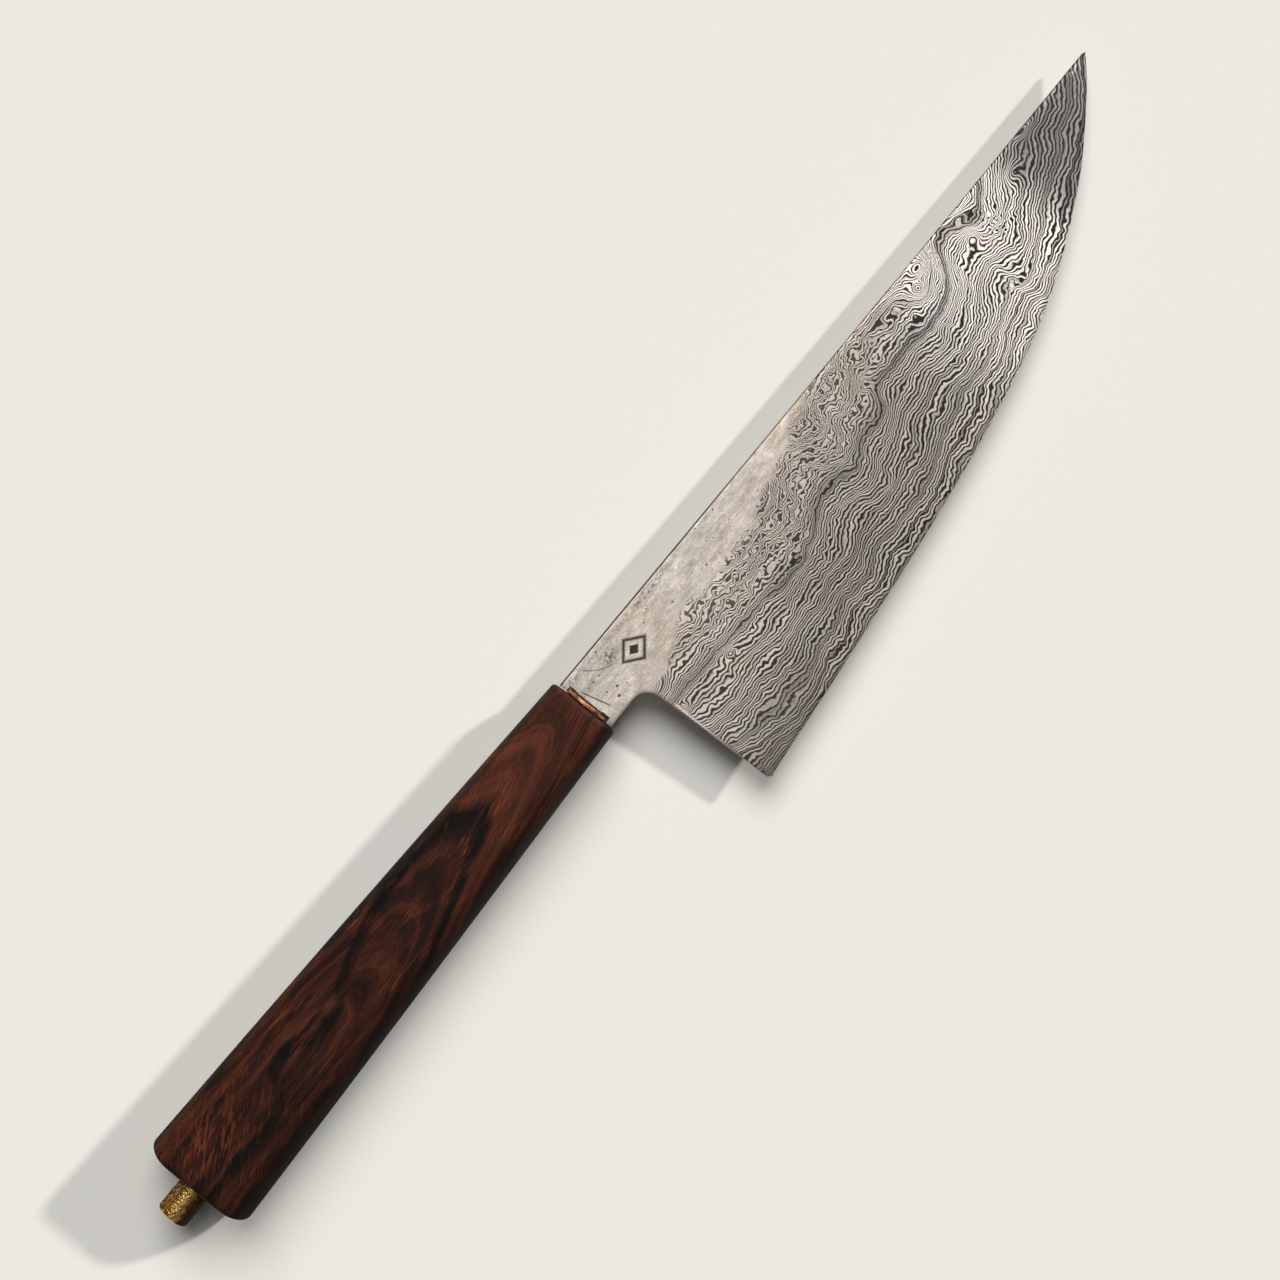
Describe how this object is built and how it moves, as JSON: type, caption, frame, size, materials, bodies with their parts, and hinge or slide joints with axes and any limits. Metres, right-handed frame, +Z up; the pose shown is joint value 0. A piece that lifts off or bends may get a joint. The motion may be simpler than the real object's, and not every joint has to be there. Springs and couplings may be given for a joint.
{
  "type": "chef knife",
  "caption": "Chef's knife with a pattern-welded blade, copper spacer, oval dark wood handle and a brass takedown nut in the butt.",
  "frame": {"origin": "on the surface the knife lies on, under the centre of the whole knife's box", "axes": "+X from the butt to the tip, +Y from the cutting edge to the spine, +Z up through the side of the blade; the knife lies on the flat under its handle, which tips its tang axis 0.83 degrees down towards the tip"},
  "size_m": [0.3508, 0.0594, 0.0218],
  "materials": {
    "damascus_steel": "etched pattern-welded layers under a satin polish",
    "rod_steel": "bright drawn",
    "black_fibre": "matt vulcanised fibre",
    "copper": "satin copper",
    "pin_steel": "bright drawn",
    "dark_rosewood": "oiled, figured",
    "washer_brass": "satin",
    "aged_brass": "aged and pitted"
  },
  "bodies": {
    "knife": {"blade": "damascus_steel", "tang_rod": "rod_steel", "fibre_liner": "black_fibre", "copper_spacer": "copper", "locating_pin_upper": "pin_steel", "locating_pin_lower": "pin_steel", "handle_wood": "dark_rosewood"},
    "washer": {"nut_washer": "washer_brass"},
    "nut": {"finial_nut": "aged_brass"}
  },
  "joints": [
    {"name": "nut_travel", "type": "slide", "parent": "knife", "child": "washer", "axis": [-0.9999, 0, 0.0145], "range_m": [0, 0.007]},
    {"name": "nut_spin", "type": "hinge", "parent": "washer", "child": "nut", "pos_m": [-0.15836, 0.01521, 0.01081], "axis": [-0.9999, 0, 0.0145], "range_deg": [0, 2521]}
  ],
  "couplings": [
    {"joint": "nut_spin", "follows": "nut_travel", "rad_per_m": 6283.2}
  ]
}
